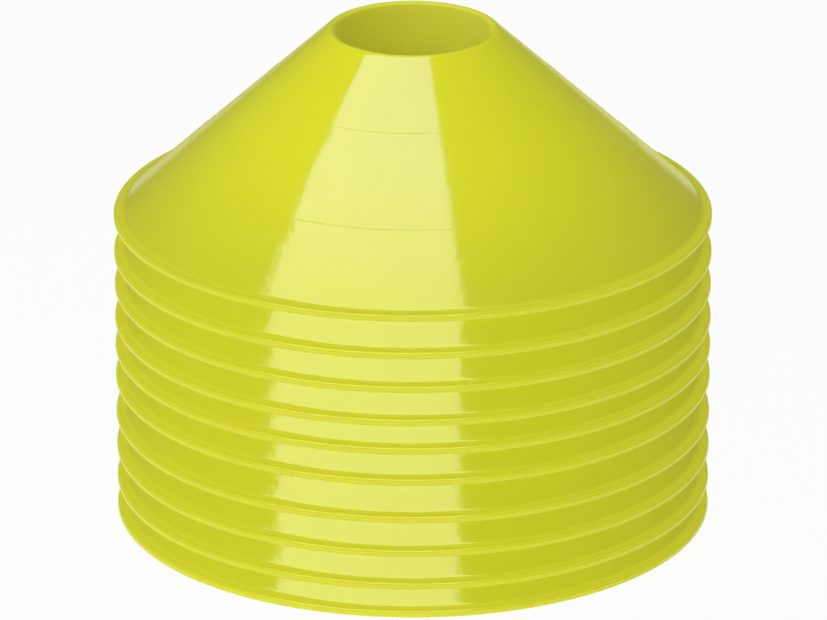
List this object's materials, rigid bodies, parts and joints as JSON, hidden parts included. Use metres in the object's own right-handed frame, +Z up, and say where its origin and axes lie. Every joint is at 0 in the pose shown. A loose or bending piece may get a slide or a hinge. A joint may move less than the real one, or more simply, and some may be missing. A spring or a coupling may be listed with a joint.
{
  "type": "sports marker cone set",
  "caption": "Nested stack of low, wide-rimmed training marker cones with open tops and raised rings, lifted off one by one to mark out a playing field.",
  "frame": {"origin": "centre of the lowest cone's foot, on the ground", "axes": "+Z up along the cones' common axis; +X and +Y are equal by symmetry"},
  "size_m": [0.1905, 0.1904, 0.1613],
  "materials": {
    "yellow_polyethylene": "smooth semi-gloss moulded low-density polyethylene, fluorescent yellow, slightly translucent"
  },
  "bodies": {
    "cone_01": {"cone_01": "yellow_polyethylene"},
    "cone_02": {"cone_02": "yellow_polyethylene"},
    "cone_03": {"cone_03": "yellow_polyethylene"},
    "cone_04": {"cone_04": "yellow_polyethylene"},
    "cone_05": {"cone_05": "yellow_polyethylene"},
    "cone_06": {"cone_06": "yellow_polyethylene"},
    "cone_07": {"cone_07": "yellow_polyethylene"},
    "cone_08": {"cone_08": "yellow_polyethylene"},
    "cone_09": {"cone_09": "yellow_polyethylene"},
    "cone_10": {"cone_10": "yellow_polyethylene"}
  },
  "joints": [
    {"name": "cone_02_lift", "type": "slide", "parent": "cone_01", "child": "cone_02", "axis": [0, 0, 1], "range_m": [0, 0.06]},
    {"name": "cone_03_lift", "type": "slide", "parent": "cone_02", "child": "cone_03", "axis": [0, 0, 1], "range_m": [0, 0.06]},
    {"name": "cone_04_lift", "type": "slide", "parent": "cone_03", "child": "cone_04", "axis": [0, 0, 1], "range_m": [0, 0.06]},
    {"name": "cone_05_lift", "type": "slide", "parent": "cone_04", "child": "cone_05", "axis": [0, 0, 1], "range_m": [0, 0.06]},
    {"name": "cone_06_lift", "type": "slide", "parent": "cone_05", "child": "cone_06", "axis": [0, 0, 1], "range_m": [0, 0.06]},
    {"name": "cone_07_lift", "type": "slide", "parent": "cone_06", "child": "cone_07", "axis": [0, 0, 1], "range_m": [0, 0.06]},
    {"name": "cone_08_lift", "type": "slide", "parent": "cone_07", "child": "cone_08", "axis": [0, 0, 1], "range_m": [0, 0.06]},
    {"name": "cone_09_lift", "type": "slide", "parent": "cone_08", "child": "cone_09", "axis": [0, 0, 1], "range_m": [0, 0.06]},
    {"name": "cone_10_lift", "type": "slide", "parent": "cone_09", "child": "cone_10", "axis": [0, 0, 1], "range_m": [0, 0.06]}
  ]
}
